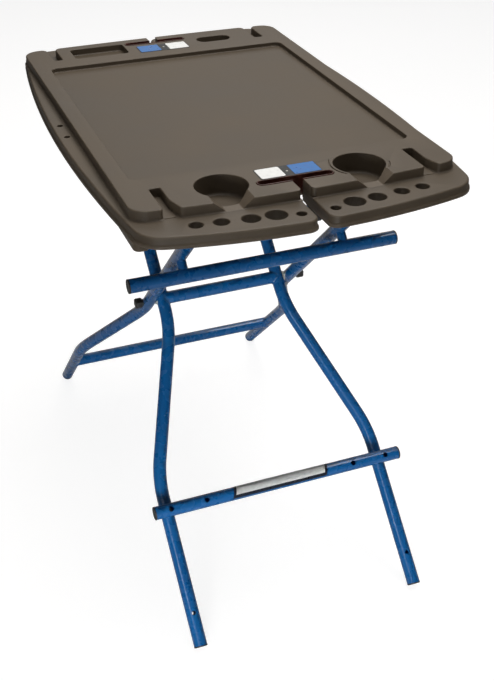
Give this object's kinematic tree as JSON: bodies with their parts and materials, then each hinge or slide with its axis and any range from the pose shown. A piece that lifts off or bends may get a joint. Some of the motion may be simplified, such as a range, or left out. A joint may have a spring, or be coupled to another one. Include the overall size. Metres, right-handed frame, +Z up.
{
  "type": "portable workbench",
  "caption": "Folding workbench with a moulded plastic deck over two nested scissor frames of round steel tube.",
  "frame": {"origin": "on the floor, under the centre of the whole bench's box", "axes": "+Z up, +Y from the latch side with the two cup wells to the hinge side, +X to the right"},
  "size_m": [0.695, 1.1226, 0.98],
  "materials": {
    "moulded_plastic": "fine moulded texture, warm grey-brown",
    "liner_plastic": "satin dark maroon-brown",
    "blue_paint": "glossy blue powder coat",
    "black_plastic": "satin black moulding",
    "zinc_steel": "bright zinc plate",
    "nylon": "natural nylon"
  },
  "bodies": {
    "inner_frame": {"inner_leg_left": "blue_paint", "inner_leg_right": "blue_paint", "inner_foot_left": "black_plastic", "inner_foot_right": "black_plastic", "inner_top_plug_left": "black_plastic", "inner_top_plug_right": "black_plastic", "inner_cross_tube": "blue_paint", "lower_bar": "blue_paint", "lower_bar_standoff_left": "blue_paint", "lower_bar_standoff_right": "blue_paint", "lower_bar_bolt_left": "zinc_steel", "lower_bar_bolt_right": "zinc_steel", "lower_bar_nut_left": "zinc_steel", "lower_bar_nut_right": "zinc_steel", "lower_bar_plug_left": "black_plastic", "lower_bar_plug_right": "black_plastic", "pivot_insert_left": "zinc_steel", "pivot_insert_right": "zinc_steel", "pivot_washer_left": "nylon", "pivot_washer_right": "nylon"},
    "outer_frame": {"outer_leg_left": "blue_paint", "outer_leg_right": "blue_paint", "outer_foot_left": "black_plastic", "outer_foot_right": "black_plastic", "outer_top_plug_left": "black_plastic", "outer_top_plug_right": "black_plastic", "outer_top_tube": "blue_paint", "outer_cross_tube": "blue_paint", "upper_bar": "blue_paint", "upper_bar_standoff_left": "blue_paint", "upper_bar_standoff_right": "blue_paint", "upper_bar_bolt_left": "zinc_steel", "upper_bar_bolt_right": "zinc_steel", "upper_bar_nut_left": "zinc_steel", "upper_bar_nut_right": "zinc_steel", "upper_bar_plug_left": "black_plastic", "upper_bar_plug_right": "black_plastic"},
    "deck_top": {"deck": "moulded_plastic", "front_slot_liner": "liner_plastic", "rear_slot_liner": "liner_plastic", "bracket_screw_left_front": "zinc_steel", "bracket_screw_left_rear": "zinc_steel", "bracket_screw_right_front": "zinc_steel", "bracket_screw_right_rear": "zinc_steel", "hook_screw_left_front": "zinc_steel", "hook_screw_left_rear": "zinc_steel", "hook_screw_right_front": "zinc_steel", "hook_screw_right_rear": "zinc_steel", "hinge_bracket_left": "zinc_steel", "hinge_bracket_right": "zinc_steel", "hinge_bolt_left": "zinc_steel", "hinge_bolt_right": "zinc_steel", "hinge_nut_left": "zinc_steel", "hinge_nut_right": "zinc_steel", "latch_hook_left": "black_plastic", "latch_hook_right": "black_plastic"},
    "left_knob": {"pivot_knob_left": "black_plastic", "pivot_stud_left": "zinc_steel"},
    "right_knob": {"pivot_knob_right": "black_plastic", "pivot_stud_right": "zinc_steel"}
  },
  "joints": [
    {"name": "deck_fold", "type": "hinge", "parent": "inner_frame", "child": "deck_top", "pos_m": [0, 0.36266, 0.8761], "axis": [-1, 0, 0], "range_deg": [0, 44.5]},
    {"name": "leg_scissor", "type": "hinge", "parent": "inner_frame", "child": "outer_frame", "pos_m": [0, 0, 0.53262], "axis": [-1, 0, 0], "range_deg": [0, 89]},
    {"name": "left_knob_turn", "type": "hinge", "parent": "inner_frame", "child": "left_knob", "pos_m": [-0.1864, 0, 0.53262], "axis": [-1, 0, 0], "continuous": true},
    {"name": "right_knob_turn", "type": "hinge", "parent": "inner_frame", "child": "right_knob", "pos_m": [0.1864, 0, 0.53262], "axis": [1, 0, 0], "continuous": true}
  ],
  "couplings": [
    {"joint": "leg_scissor", "follows": "deck_fold", "ratio": 2}
  ]
}
